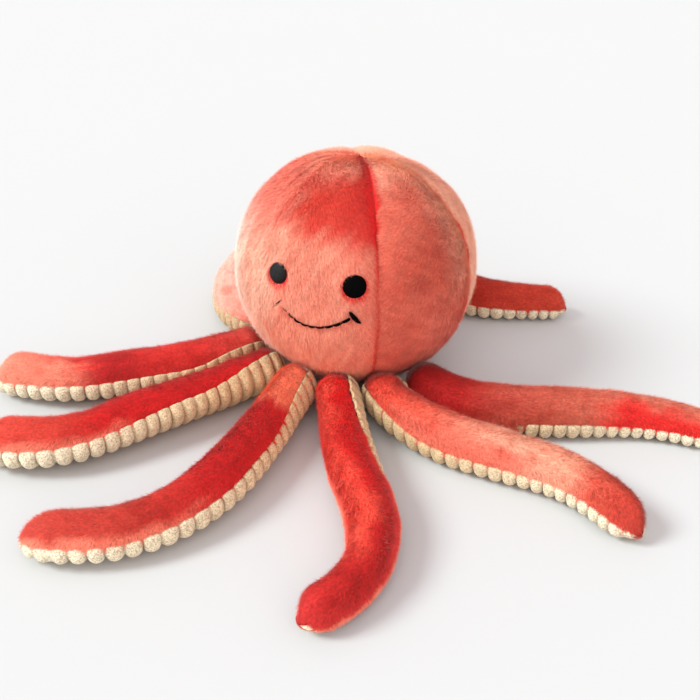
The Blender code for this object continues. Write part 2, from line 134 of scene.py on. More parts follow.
def smooth_step(share):
    """0 up to a share of 0, 1 from a share of 1, and a smooth rise between."""
    held = np.clip(share, 0, 1)
    return held * held * (3 - 2 * held)


def ramp(value, start, end):
    """0 up to the start, 1 from the end, and a smooth rise between. The end may be the lower of the two."""
    return smooth_step((value - start) / (end - start))


def mixed(first, second, share):
    """First where the share is 0, second where it is 1, for colours or vectors with a share for each."""
    share = np.asarray(share)[..., None]
    return first * (1 - share) + second * share


def unit(vectors):
    """Vectors divided by their length."""
    length = np.linalg.norm(vectors, axis=-1, keepdims=True)
    return vectors / np.maximum(length, 1e-12)


def along_stops(share, stops):
    """The colour at a share, straight between stops of (share, colour)."""
    places = [place for place, _ in stops]
    colours = np.array([colour for _, colour in stops])
    return np.stack([np.interp(share, places, colours[:, i]) for i in range(3)], axis=-1)


def drift(points, size, seed):
    """Smooth noise from -1 to 1 with hills about size across.

    Random values stand on a lattice that repeats after 32 steps, and smooth steps blend the eight round a
    point.
    """
    lattice = np.random.default_rng(seed).uniform(-1, 1, (32, 32, 32))
    spot = points / size
    cell = np.floor(spot).astype(int)
    ease = smooth_step(spot - cell)
    total = np.zeros(points.shape[:-1])
    for corner in itertools.product((0, 1), repeat=3):
        weight = np.prod(np.where(corner, ease, 1 - ease), axis=-1)
        i, j, k = np.moveaxis((cell + corner) % 32, -1, 0)
        total += weight * lattice[i, j, k]
    return total


# Materials

FLECK_BROWN = (0.30, 0.16, 0.06, 1)
FLECK_OLIVE = (0.30, 0.27, 0.15, 1)


class Dye:
    """A socket of a material. Sums on it add Math nodes, so that a pattern reads as its formula."""

    def __init__(self, tree, socket):
        self.tree, self.socket = tree, socket

    def worked(self, operation, first, second):
        return node(self.tree, "ShaderNodeMath", {"operation": operation}, {0: first, 1: second})

    def __add__(self, other): return self.worked("ADD", self, other)
    def __radd__(self, other): return self.worked("ADD", other, self)
    def __sub__(self, other): return self.worked("SUBTRACT", self, other)
    def __rsub__(self, other): return self.worked("SUBTRACT", other, self)
    def __mul__(self, other): return self.worked("MULTIPLY", self, other)
    def __rmul__(self, other): return self.worked("MULTIPLY", other, self)


def node(tree, kind, settings, inputs, output=0):
    """Adds a node, sets its settings, then its inputs by value or by link, and gives one output."""
    added = tree.nodes.new(kind)
    for setting, value in settings.items():
        if setting == "stops":
            ramp = added.color_ramp
            while len(ramp.elements) < len(value):
                ramp.elements.new(0.5)
            for element, (place, shade) in zip(ramp.elements, value):
                element.position, element.color = place, (shade, shade, shade, 1)
        else:
            setattr(added, setting, value)
    for name, value in inputs.items():
        if isinstance(value, Dye):
            tree.links.new(value.socket, added.inputs[name])
        else:
            added.inputs[name].default_value = value
    return Dye(tree, added.outputs[output])


def stepped(tree, value, start, end):
    """0 below start and 1 above end, with a ramp between."""
    stops = ((start, 0), (end, 1)) if start < end else ((end, 1), (start, 0))
    return node(tree, "ShaderNodeValToRGB", {"stops": stops}, {"Fac": value})


def finish(name, **sockets):
    """A new material whose shader has these values on its sockets, with its tree and Object coordinates."""
    material = bpy.data.materials.new(name)
    material.use_nodes = True
    tree = material.node_tree
    shader = tree.nodes["Principled BSDF"]
    for socket, value in sockets.items():
        shader.inputs[socket.replace("_", " ")].default_value = value
    place = node(tree, "ShaderNodeTexCoord", {}, {}, "Object")
    return material, tree, shader, place


def noise(tree, place, size, detail=2):
    """Cloudy values round 0.5, with clouds about size across."""
    return node(tree, "ShaderNodeTexNoise", {}, {"Vector": place, "Scale": 1 / size, "Detail": detail})


def scaled(tree, colour, share):
    """A colour made lighter or darker by a share."""
    return node(tree, "ShaderNodeVectorMath", {"operation": "SCALE"}, {"Vector": colour, "Scale": share})


def blended_colour(tree, first, second, share):
    """First where the share is 0 and second where it is 1."""
    inputs = {"Factor": share, "A": first, "B": second}
    return node(tree, "ShaderNodeMix", {"data_type": "RGBA"}, inputs, "Result")


def painted(tree, shader, colour):
    """Links a colour to the shader."""
    tree.links.new(colour.socket, shader.inputs["Base Color"])


def embossed(tree, shader, height, depth):
    """Raises the surface by a height pattern, to a depth in metres."""
    bump = node(tree, "ShaderNodeBump", {}, {"Strength": 1.0, "Distance": depth, "Height": height}, "Normal")
    tree.links.new(bump.socket, shader.inputs["Normal"])


def pile_finish(name, grain):
    """Dyed pile: the tuft's tint, which is its dye with painted light and shade in places, and a fine painted
    speckle where tips catch the light or fall in shade.
    """
    material, tree, shader, place = finish(
        name, Roughness=0.8, Sheen_Weight=0.3, Sheen_Roughness=0.4, Sheen_Tint=(1, 0.75, 0.66, 1))
    tint = node(tree, "ShaderNodeAttribute", {"attribute_name": "tint"}, {}, "Color")
    # painted speckle of light and shade on the tips
    speckle = noise(tree, place, 0.0011) * grain + (1 - 0.49 * grain)
    painted(tree, shader, scaled(tree, tint, speckle))
    return material


def cord_finish(name):
    """Nubby cord: rows of nubs, with brown and olive flecks down in the pits between them, and painted shade
    that darkens those pits.
    """
    material, tree, shader, place = finish(name, Roughness=0.85, Sheen_Weight=0.1, Sheen_Roughness=0.6)
    tint = node(tree, "ShaderNodeAttribute", {"attribute_name": "tint"}, {}, "Color")
    nub = node(tree, "ShaderNodeTexVoronoi", {"feature": "SMOOTH_F1"},
               {"Vector": place, "Scale": 1 / 0.0009, "Smoothness": 0.8}, "Distance")
    fleck = stepped(tree, noise(tree, place, 0.0006, 1), 0.48, 0.62)
    hue = noise(tree, place, 0.0014, 1)
    brown = blended_colour(tree, FLECK_BROWN, FLECK_OLIVE, stepped(tree, hue, 0.45, 0.6))
    # darker away from each nub's middle, where the bump sinks: painted shade in the pits
    cloth = scaled(tree, tint, 1.16 - nub * 0.5)
    painted(tree, shader, blended_colour(tree, cloth, brown, fleck * 0.6))
    embossed(tree, shader, noise(tree, place, 0.0006, 2) * 0.5 - nub * 0.6, 0.0003)
    return material


def thread_finish(name, colour, roughness, gloss):
    """Twisted thread: fine strands across it, lighter where they stand up, a painted highlight."""
    material, tree, shader, place = finish(name, Roughness=roughness, Specular_IOR_Level=gloss)
    strand = noise(tree, place, 0.00035, 2)
    # lighter where the strands stand high: painted highlight
    painted(tree, shader, scaled(tree, colour, strand * 0.8 + 0.6))
    embossed(tree, shader, strand, 0.00012)
    return material


def fibre_finish(name):
    """Stuffing: matted white fibre, lighter where its clumps stand up, a painted highlight."""
    material, tree, shader, place = finish(name, Roughness=1.0)
    clump = noise(tree, place, 0.004, 4)
    # lighter where the clumps stand high: painted highlight
    painted(tree, shader, scaled(tree, (0.80, 0.79, 0.76), clump * 0.3 + 0.8))
    embossed(tree, shader, clump, 0.001)
    return material


HEAD_PILE = pile_finish("head_pile", 0.7)
ARM_PILE = pile_finish("arm_pile", 1.1)
CORD = cord_finish("octopus_cord")
BLACK_THREAD = thread_finish("black_thread", (0.0006, 0.0005, 0.0005), 0.6, 0.03)
GREY_SATIN = thread_finish("black_satin_thread", (0.003, 0.003, 0.003), 0.5, 0.2)
SEAM_THREAD = thread_finish("coral_seam_thread", (0.45, 0.05, 0.04), 0.7, 0.3)
FIBRE = fibre_finish("white_stuffing")


# Cloth with its pile


class Cloth:
    """Grids and tufts gathered into one mesh, with a tint, a normal and a map place for each corner."""

    def __init__(self):
        self.points, self.tints, self.normals, self.spots, self.faces = [], [], [], [], []
        self.count = 0

    def add(self, points, tints, normals, spots, faces):
        self.points.append(points.reshape(-1, 3))
        self.tints.append(np.broadcast_to(tints, points.shape).reshape(-1, 3))
        self.normals.append(normals.reshape(-1, 3))
        self.spots.append(spots.reshape(-1, 2))
        self.faces += [corners + self.count for corners in faces]
        self.count += self.points[-1].shape[0]

    def add_grid(self, grid, core, tint):
        """A cloth over a grid of points, facing away from its core. Corners that coincide make its poles."""
        rows, columns = grid.shape[:2]
        index = np.arange(rows * columns).reshape(rows, columns)
        for row in (0, -1):
            if np.ptp(grid[row], axis=0).max() < 1e-7:
                index[row] = index[row, 0]
        quads = np.stack([index[:-1, :-1], index[:-1, 1:], index[1:, 1:], index[1:, :-1]], -1).reshape(-1, 4)
        normals = grid_normals(grid, core)
        corner = grid.reshape(-1, 3)[quads]
        facing = np.cross(corner[:, 2] - corner[:, 0], corner[:, 3] - corner[:, 1])
        if np.sum(facing * normals.reshape(-1, 3)[quads[:, 0]]) < 0:
            quads = quads[:, ::-1]
        pinched = [quads[quads[:, i] == quads[:, (i + 1) % 4]] for i in range(4)]
        kept = quads[np.all(quads != np.roll(quads, -1, axis=1), axis=1)]
        fans = [np.delete(group, i, axis=1) for i, group in enumerate(pinched) if len(group)]
        share = map_spots(grid, *np.indices((rows, columns)))
        self.add(grid, tint, normals, share, [kept, *fans])

    def add_tufts(self, place, normal, lie, length, root_tint, tip_tint, share, seed):
        """Tufts as tapered blades, three corners each.

        A blade leans from the cloth's normal towards its lie and narrows to a point. Its width runs across the
        lie, so that its broad side faces outwards.
        """
        dice = np.random.default_rng(seed)
        count = len(place)
        stray = dice.random(count) < STRAY_SHARE
        lean = PILE_LEAN_DEG + dice.normal(0, 7, count) - np.where(stray, STRAY_LIFT_DEG, 0)
        lean = np.radians(lean)[:, None]
        way = normal * np.cos(lean) + lie * np.sin(lean)
        length = (length * dice.uniform(0.85, 1.15, count))[:, None]
        across = unit(np.cross(way, normal))
        turn = np.radians(dice.uniform(-20, 20, count))[:, None]
        side = across * np.cos(turn) + np.cross(across, way) * np.sin(turn)
        half = side * PILE_WIDTH / 2
        points = np.stack([place - half, place + half, place + way * length], 1)
        points[..., 2] = np.maximum(points[..., 2], RESTING_HEIGHT)
        facing = unit(normal + 0.4 * np.cross(side, way))
        shade = dice.uniform(0.84, 1.16, count)[:, None]
        tints = np.stack([root_tint, root_tint, tip_tint], 1) * shade[:, None]
        width, reach = np.array([0.0008, 0]), np.array([0, 0.003])
        spots = np.stack([share - width, share + width, share + reach], 1)
        ends = np.arange(count)[:, None] * 3 + np.arange(3)
        self.add(points, tints, np.repeat(facing[:, None], 3, 1), spots, [ends])

    def piece(self, name, material):
        """The gathered mesh as an object."""
        corners = np.concatenate([group.ravel() for group in self.faces])
        sizes = np.concatenate([np.full(len(group), group.shape[1]) for group in self.faces])
        mesh = bpy.data.meshes.new(name)
        mesh.vertices.add(self.count)
        mesh.vertices.foreach_set("co", np.concatenate(self.points).astype(np.float32).ravel())
        mesh.loops.add(len(corners))
        mesh.loops.foreach_set("vertex_index", corners.astype(np.int32))
        mesh.polygons.add(len(sizes))
        mesh.polygons.foreach_set("loop_start", (np.cumsum(sizes) - sizes).astype(np.int32))
        mesh.update(calc_edges=True)
        mesh.shade_smooth()
        tints = np.ones((self.count, 4), np.float32)
        tints[:, :3] = np.concatenate(self.tints)
        mesh.attributes.new("tint", "FLOAT_COLOR", "POINT").data.foreach_set("color", tints.ravel())
        spots = np.concatenate(self.spots)[corners].astype(np.float32)
        mesh.uv_layers.new(name="OFBake").data.foreach_set("uv", spots.ravel())
        mesh.normals_split_custom_set_from_vertices(np.concatenate(self.normals))
        mesh.materials.append(material)
        return placed(name, mesh)


def placed(name, data):
    """A new object in the scene."""
    made = bpy.data.objects.new(name, data)
    bpy.context.scene.collection.objects.link(made)
    return made


def handed_over(made, body, replaced):
    """Gives a piece its body, and hides the solid that it stands for."""
    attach(made, body)
    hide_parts(replaced)


def map_spots(grid, row, column):
    """Places on the map of a cloth, by rows and columns of its grid, inside an even margin."""
    spots = np.stack([column / (grid.shape[1] - 1), row / (len(grid) - 1)], -1)
    return MAP_MARGIN + (1 - 2 * MAP_MARGIN) * spots


def hemmed(grid, core, share):
    """A cloth's grid with both its edges turned in, to a share of their distance from the core."""
    hems = [core + (grid[:, edge] - core) * share for edge in (slice(0, 1), slice(-1, None))]
    return np.concatenate([hems[0], grid, hems[1]], axis=1)


def grid_normals(grid, core):
    """Unit normals of a grid, from its steps along and across, pointing away from its core."""
    normals = np.cross(np.gradient(grid, axis=0), np.gradient(grid, axis=1))
    away = grid - core
    flat = np.linalg.norm(normals, axis=-1) < 1e-12
    normals[flat] = away[flat]
    inward = np.sum(normals * away, axis=-1) < 0
    normals[inward] *= -1
    return unit(normals)


def strewn(grid, count_per_area, seed):
    """Rows and columns of spots strewn evenly: the running sum of the cells' areas is cut into equal steps,
    and each step has one spot at a random place in its cell.
    """
    dice = np.random.default_rng(seed)
    diagonals = np.cross(grid[1:, 1:] - grid[:-1, :-1], grid[1:, :-1] - grid[:-1, 1:])
    total = np.cumsum(np.linalg.norm(diagonals, axis=-1).ravel() / 2)
    count = int(total[-1] * count_per_area)
    steps = (np.arange(count) + dice.random(count)) / count * total[-1]
    cell = np.minimum(np.searchsorted(total, steps), len(total) - 1)
    row, column = np.divmod(cell, grid.shape[1] - 1)
    return row + dice.random(count) * 0.999, column + dice.random(count) * 0.999


def between(field, row, column):
    """A grid's values at fractional rows and columns, straight between the four round each spot."""
    i, j = row.astype(int), column.astype(int)
    s, t = row - i, column - j
    if field.ndim == 3:
        s, t = s[:, None], t[:, None]
    near = field[i, j] * (1 - t) + field[i, j + 1] * t
    far = field[i + 1, j] * (1 - t) + field[i + 1, j + 1] * t
    return near * (1 - s) + far * s


def rooted(grid, core, count_per_area, seed):
    """Where tufts root in a cloth: their rows and columns, their places and the cloth's normals there."""
    row, column = strewn(grid, count_per_area, seed)
    normal = unit(between(grid_normals(grid, core), row, column))
    return row, column, between(grid, row, column), normal


def turned(lie, normal, angle):
    """A lie turned round the cloth's normal by an angle."""
    angle = angle[:, None]
    return lie * np.cos(angle) + np.cross(normal, lie) * np.sin(angle)


# Head

FACE_SALMON = dyed(246, 154, 127)
LOW_FACE = dyed(250, 158, 128)
FOREHEAD_MID = dyed(231, 73, 53)
FOREHEAD_DEEP = dyed(220, 53, 41)
CROWN_MID = dyed(240, 106, 86)
CROWN_LEFT = dyed(244, 134, 112)
CROWN_TOP = dyed(249, 166, 140)
SEAM_SIDE = dyed(222, 91, 70)
# the first tint, for gore 2 low down, is painted bounce light from the floor; the second, for the right of the
# crown, is partly the pile's own paler tone and partly painted top light
RIGHT_LOW_PAINTED_BOUNCE = dyed(251, 138, 114)
CROWN_RIGHT_PAINTED_LIGHT = dyed(252, 184, 156)
RIGHT_TOP = dyed(232, 120, 96)
RIGHT_CORAL = dyed(227, 106, 83)
# much paler on the far right of gore 2 and the near edge of gore 3: painted fill light where that side falls in
# shade
FAR_RIGHT_PAINTED_FILL = dyed(250, 186, 156)
# pale peach and salmon for the left of the head: partly the pile's lie and partly painted light from the window
# on the left
LEFT_PEACH = dyed(250, 222, 206)
LEFT_SALMON = dyed(250, 188, 160)
BACK_CORAL = dyed(248, 172, 142)
ROOT_RED = dyed(176, 8, 8)
SEAM_RED = dyed(222, 12, 12)
# the left gore's pale peach carries painted light from the window on the left
GORE_TINTS = (FACE_SALMON, RIGHT_CORAL, BACK_CORAL, BACK_CORAL, BACK_CORAL, LEFT_PEACH)
GORE_LIE_DEG = (-28, 62, 12, -8, 10, -14)
# how deep each seam lies, as a share of the full groove, and soft folds by gore, place across it and depth
SEAM_SHARES = (0.7, 0.5, 0.6, 0.6, 0.6, 0.25)
FOLDS = ((6, 0.62, 0.0005), (6, 0.2, 0.0006), (2, 0.66, 0.0004))
# half width of each seam's opening where the pile parts, in millimetres, at latitudes in degrees
SEAM_OPENINGS = (
    ((-35, 0.8), (-8, 0.75), (4, 0.5), (12, 0.2), (20, 0.5), (28, 0.9), (40, 1.3), (54, 2.0), (66, 1.5),
     (82, 0.5)),
    ((-20, 0.3), (5, 0.4), (10, 0.9), (13, 1.5), (20, 1.1), (29, 1.4), (33, 0.3), (60, 0.3)),
    ((-20, 0.2), (60, 0.2)),
    ((-20, 0.2), (60, 0.2)),
    ((-20, 0.2), (60, 0.2)),
    ((-35, 0.05), (54, 0.05), (80, 0.2)),
)


def seam_opening(seam, latitude):
    """Half width of the part in the pile along each seam, at latitudes in degrees."""
    opening = np.zeros(np.broadcast(seam, latitude).shape)
    for number, stops in enumerate(SEAM_OPENINGS):
        opening = np.where(seam == number, np.interp(latitude, *zip(*stops)) / 1000, opening)
    return opening


def head_radius(from_middle, azimuth, polar, seam_share):
    """Distance of the head's pile from its middle: a ball, less a groove that deepens as the square towards
    each gore's edge, by the share that each seam has of the full depth, a dip round the crown, and a little
    off the top of its back.
    """
    to_seam = (math.pi / GORE_COUNT - np.abs(from_middle)) * HEAD_RADIUS * np.sin(polar)
    groove = seam_share * SEAM_GROOVE_DEPTH * np.clip(1 - to_seam / SEAM_GROOVE_REACH, 0, 1) ** 2
    dip = CROWN_DIP_DEPTH * np.exp(-(HEAD_RADIUS * polar / CROWN_DIP_REACH) ** 2)
    back = BACK_DROP * smooth_step(1.3 - polar) * smooth_step(0.5 - np.cos(azimuth - FACE_AZIMUTH))
    return HEAD_RADIUS - groove - dip - back


def head_point(azimuth, polar, distance):
    """Points at a distance from the head's middle, by azimuth and by angle down from the crown."""
    flat, up = distance * np.sin(polar), distance * np.cos(polar)
    return np.stack([flat * np.cos(azimuth), flat * np.sin(azimuth), up], -1) + HEAD_MIDDLE


def tilted(points, polar):
    """Points of the ball turned back round its X axis, most at the crown and not at all near its base."""
    turn = math.radians(CROWN_TILT_DEG) * smooth_step(1 - polar / math.radians(125))
    x, y, z = np.moveaxis(points - HEAD_MIDDLE, -1, 0)
    back = y * np.cos(turn) + z * np.sin(turn)
    return np.stack([x, back, z * np.cos(turn) - y * np.sin(turn)], -1) + HEAD_MIDDLE


def face_point(azimuth_deg, latitude_deg, stand):
    """Points that stand off the face, by degrees from its middle and up from the equator."""
    azimuth = FACE_AZIMUTH + np.radians(azimuth_deg)
    return head_point(azimuth, math.pi / 2 - np.radians(latitude_deg), HEAD_RADIUS + stand)


def smile_point(share, stand):
    """Points along the smile from -1 to 1: lowest in its middle, and up as the square towards its ends."""
    azimuth = share * np.where(share < 0, *SMILE_ENDS)
    latitude = SMILE_LOWEST_LATITUDE + (SMILE_END_LATITUDE - SMILE_LOWEST_LATITUDE) * share ** 2
    return face_point(azimuth, latitude, stand)


def brush_strokes(down, right, lean_deg, seed):
    """Streaks of pile from -1 to 1, five times as long as wide, that lean from down towards the right."""
    lean = math.radians(lean_deg)
    onward = right * math.sin(lean) - down * math.cos(lean)
    across = right * math.cos(lean) + down * math.sin(lean)
    place = np.stack([onward * 0.2, across, 0 * across], -1)
    return 0.6 * drift(place, 0.0011, seed) + 0.6 * drift(place, 0.0024, seed + 100)


def deepened(tint, share):
    """A tint made deeper and redder where the share is positive, and paler where it is negative."""
    return tint * (1 - share[:, None] * np.array([0.3, 0.9, 1.0]))


def head_tint(number, azimuth, latitude, place):
    """Colour of a gore's tips, by degrees from the middle of the face and up from the equator."""
    tint = np.broadcast_to(GORE_TINTS[number - 1], place.shape)
    brushed = drift(np.stack([azimuth * 0.8 - latitude * 0.8, latitude * 0.2, azimuth * 0], -1), 4.0, 5)
    mottled = drift(place, 0.005, 6)
    # paler towards the left: partly the pile's lie and partly painted light from the window on the left
    if number == 6:
        tint = mixed(LEFT_SALMON, tint, ramp(azimuth, -36, -70))
    if number in (1, 6):
        tint = mixed(tint, LEFT_SALMON, ramp(azimuth, -14, -28) * ramp(azimuth, -44, -32))
    if number in (1, 5, 6):
        crown_left = ramp(latitude, 18, 44) * ramp(azimuth, -150, -90) * ramp(azimuth, -22, -32)
        tint = mixed(tint, CROWN_LEFT, crown_left)
    if number == 2:
        tint = mixed(tint, RIGHT_TOP, ramp(latitude, 24, 46))
        # painted light: paler at the crown, on the far side and low down, where gore 2 falls in shade
        tint = mixed(tint, CROWN_RIGHT_PAINTED_LIGHT, ramp(latitude, 52, 72))
        tint = mixed(tint, FAR_RIGHT_PAINTED_FILL, ramp(azimuth, 62, 86))
        tint = mixed(tint, RIGHT_LOW_PAINTED_BOUNCE, ramp(latitude, 20, -12) * (0.35 + 0.65 * ramp(azimuth, 40, 65)))
    if number == 3:
        # painted fill light, paler towards gore 2
        tint = mixed(FAR_RIGHT_PAINTED_FILL, tint, ramp(azimuth, 96, 126))
    if number == 1:
        tint = mixed(tint, LOW_FACE, ramp(latitude, 10, -20))
        tint = mixed(tint, CROWN_MID, ramp(latitude, 42, 62))
        edge = np.interp(azimuth, (-34, -24, 0, 27, 34), (38, 33, 31, 26, 30))
        patch = smooth_step((latitude - edge + 4 * brushed + 2 * mottled) / 17)
        upper = np.interp(azimuth, (-34, -20, 0, 14, 26, 34), (56, 62, 71, 74, 80, 96))
        patch = patch * smooth_step((upper + 3 * mottled - latitude) / 12)
        deep = mixed(FOREHEAD_MID, FOREHEAD_DEEP, smooth_step((azimuth + 22) / 50 + 0.2 * mottled))
        tint = mixed(tint, deep, patch)
        near_seam = 0.7 * ramp(azimuth, 8, 32) + 0.3 * ramp(azimuth, 25, 29)
        tint = mixed(tint, SEAM_SIDE, near_seam * ramp(latitude, 36, 20))
    if number in (1, 5, 6):
        crown_top = ramp(latitude, 60, 74) * ramp(azimuth, 30, 20)
        tint = mixed(tint, CROWN_TOP, crown_top * (1 - (patch if number == 1 else 0)))
    shade = 1 + 0.05 * brushed + 0.06 * mottled
    return tint * shade[:, None]


def add_gore(number):
    """One gore of the head: cloth with its edges turned in, and pile that lies down the ball.

    The pile is short and pressed under the stitches of the face, parts where a seam lies open and leans
    over the seam where it is closed.
    """
    middle = FACE_AZIMUTH + (number - 1) * math.tau / GORE_COUNT
    share = np.linspace(-1, 1, 45)
    polar = np.linspace(math.radians(1.6), BASE_POLAR, 90)[:, None]
    from_middle = share * math.pi / GORE_COUNT
    seam_share = np.where(share > 0, SEAM_SHARES[number - 1], SEAM_SHARES[number - 2])
    radius = head_radius(from_middle, middle + from_middle, polar, seam_share) - CLOTH_INSET
    for gore, fold_share, depth in FOLDS:
        if gore == number:
            near_crown = smooth_step(polar / 0.15) * smooth_step((0.95 - polar) / 0.4)
            width = 0.0011 / (HEAD_RADIUS * np.sin(polar) * math.pi / GORE_COUNT)
            radius = radius - depth * near_crown * np.exp(-((share - fold_share) / width) ** 2)
    grid = tilted(head_point(middle + from_middle, polar, radius), polar)
    lump = 0.0005 * drift(grid, 0.02, 3) + 0.0002 * drift(grid, 0.007, 4)
    grid = grid + unit(grid - HEAD_MIDDLE) * lump[..., None]
    cloth = Cloth()
    edge_seam = np.where(share > 0, number - 1, (number - 2) % GORE_COUNT)
    reddened = smooth_step(seam_opening(edge_seam, 90 - np.degrees(polar)) / 0.0006)
    flat = np.hypot(grid[..., 0], grid[..., 1])
    around = (np.degrees(middle + from_middle - FACE_AZIMUTH) + 180) % 360 - 180
    tint = head_tint(number, np.broadcast_to(around, flat.shape).ravel(),
                     np.degrees(np.arctan2(grid[..., 2] - HEAD_MIDDLE[2], flat)).ravel(), grid.reshape(-1, 3))
    backing = mixed(tint.reshape(grid.shape), SEAM_RED, reddened * smooth_step((np.abs(share) - 0.86) / 0.1))
    backing = np.concatenate([backing[:, :1], backing, backing[:, -1:]], axis=1)
    cloth.add_grid(hemmed(grid, HEAD_MIDDLE, HEAD_HEM_SHARE), HEAD_MIDDLE, backing)

    row, column, place, normal = rooted(grid, HEAD_MIDDLE, PILE_COUNT, 10 + number)
    down = unit(between(np.gradient(grid, axis=0), row, column))
    right = unit(np.cross(down, normal))
    spot = place - HEAD_MIDDLE
    latitude = np.degrees(np.arctan2(spot[:, 2], np.hypot(spot[:, 0], spot[:, 1])))
    azimuth = (np.degrees(np.arctan2(spot[:, 1], spot[:, 0]) - FACE_AZIMUTH) + 180) % 360 - 180
    across = between(np.broadcast_to(share, grid.shape[:2]), row, column)
    turn = np.radians(GORE_LIE_DEG[number - 1] + 10 * drift(place, 0.012, 7) + 4 * drift(place, 0.0026, 8))
    turn += np.radians(np.random.default_rng(20 + number).normal(0, 9, len(place)))
    lie = down * np.cos(turn)[:, None] + right * np.sin(turn)[:, None]
    level, round_by = np.radians(latitude) * HEAD_RADIUS, np.radians(azimuth) * np.hypot(spot[:, 0], spot[:, 1])
    streak = brush_strokes(level, round_by, GORE_LIE_DEG[number - 1], 15 + number)
    length = PILE_LENGTH * (1 + 0.1 * drift(place, 0.004, 9) + 0.1 * streak)

    # beside the seams
    flat = np.hypot(spot[:, 0], spot[:, 1]) * math.pi / GORE_COUNT
    to_seam = (1 - np.abs(across)) * flat
    seam = np.where(across > 0, number - 1, (number - 2) % GORE_COUNT)
    opening = seam_opening(seam, latitude) * (1 + 0.35 * drift(place, 0.0022, 11))
    closed = smooth_step(1 - opening / 0.0006)
    toward = np.sign(across) * smooth_step(1 - to_seam / 0.0035) * closed
    toward = toward * (seam < 5) * np.where(seam == 0, 0.5, 1.1)
    lie = unit(lie + right * toward[:, None])
    length = length * (0.22 + 0.78 * smooth_step((to_seam - opening * 0.55) / (opening * 0.9 + 0.0004)))

    tip = deepened(head_tint(number, azimuth, latitude, place), 0.3 * streak)
    widened = 1.5 if number == 1 else ramp(latitude, 50, 60)
    beside = smooth_step(1 - (to_seam - opening) / (0.0008 + opening * widened)) * smooth_step(opening / 0.0006)
    beside = np.maximum(beside, 0.6 * smooth_step(1 - to_seam / 0.0013) * (seam == 0))
    tip = mixed(tip, SEAM_RED, beside * 0.97)
    root = tip
    keep = np.ones(len(place), bool)

    if number == 1:
        for (eye_azimuth, eye_latitude), eye_radius in zip(EYE_SPOTS, EYE_RADII):
            eye = face_point(eye_azimuth, eye_latitude, -CLOTH_INSET)
            away = place - eye
            distance = np.linalg.norm(away, axis=-1)
            keep &= distance > eye_radius - 0.0004
            pressed = smooth_step(1 - (distance - eye_radius) / 0.0014)
            length = length * (1 - 0.55 * pressed)
            lie = unit(lie + unit(away) * (pressed * 0.9)[:, None])
            below = smooth_step(0.65 - (away @ np.array([0.55, 0.1, 0.83])) / (2 * eye_radius))
            halo = smooth_step(1 - (distance - eye_radius) / (0.0010 + 0.0016 * below))
            tip = mixed(tip, SEAM_RED, halo * (0.45 + 0.45 * below))
            root = mixed(root, SEAM_RED, halo)
        path_share = np.linspace(-1, 1, 90)
        path = smile_point(path_share, -CLOTH_INSET)
        near = np.flatnonzero(np.abs(latitude) < 12)
        gap = np.linalg.norm(place[near, None] - path, axis=-1)
        nearest, at = gap.min(axis=1), path_share[gap.argmin(axis=1)]
        covered = smooth_step((-0.45 - at) / 0.3)
        under = smooth_step(1 - (nearest - 0.0004) / 0.0005)
        length[near] *= 1 - 0.62 * under * (1 - covered)
        tip[near] = mixed(tip[near], FOREHEAD_DEEP, 0.7 * smooth_step(1 - (nearest - 0.0006) / 0.0012))

    cloth.add_tufts(place[keep], normal[keep], lie[keep], length[keep], root[keep], tip[keep],
                    map_spots(grid, row, column)[keep], 30 + number)
    gore = cloth.piece(f"head_plush_{number}", HEAD_PILE)
    handed_over(gore, "head", f"head_gore_{number}")


def add_head_threads():
    """The thread down each seam of the head, under the pile's edges."""
    polar = np.linspace(math.radians(5), BASE_POLAR, 60)
    for number, share in enumerate(SEAM_SHARES):
        azimuth = FACE_AZIMUTH + (number + 0.5) * math.tau / GORE_COUNT
        radius = head_radius(math.pi / GORE_COUNT, azimuth, polar, share) - CLOTH_INSET - 0.0012
        path = tilted(head_point(azimuth, polar, radius), polar)
        thread = stitched(f"head_thread_{number + 1}", path, SEAM_THREAD_RADIUS, THREAD_TWIST, SEAM_THREAD)
        handed_over(thread, "head", f"head_seam_thread_{number + 1}")


def add_base_plush():
    """The patch under the head: flat on its middle, then up the ball, with its short pile pressed flat."""
    flat_radius = math.sqrt(HEAD_RADIUS ** 2 - HEAD_MIDDLE[2] ** 2)
    turn = np.linspace(0, math.tau, 73)
    rim = np.linspace(flat_radius, BASE_PATCH_RADIUS, 8)
    reach = np.concatenate([np.linspace(0, flat_radius, 16), rim[1:]])
    rise = HEAD_MIDDLE[2] - np.sqrt(HEAD_RADIUS ** 2 - np.maximum(reach, flat_radius) ** 2)
    points = np.stack([reach[:, None] * np.cos(turn), reach[:, None] * np.sin(turn),
                       np.broadcast_to(rise[:, None] + 0.0009, (len(reach), len(turn)))], -1)
    cloth = Cloth()
    cloth.add_grid(points, HEAD_MIDDLE, ROOT_RED)
    row, column, place, normal = rooted(points, HEAD_MIDDLE, PILE_COUNT * 0.7, 41)
    lie = unit(np.cross(normal, np.array([0.3, 1.0, 0])))
    lie = turned(lie, normal, 0.5 * drift(place, 0.008, 42))
    tip = BACK_CORAL * (1 + 0.08 * drift(place, 0.005, 43))[:, None]
    root = mixed(ROOT_RED, tip, np.full(len(place), 0.4))
    length = np.full(len(place), BASE_PILE_LENGTH)
    cloth.add_tufts(place, normal, lie, length, root, tip, map_spots(points, row, column), 44)
    handed_over(cloth.piece("base_plush", HEAD_PILE), "head", "head_base_patch")


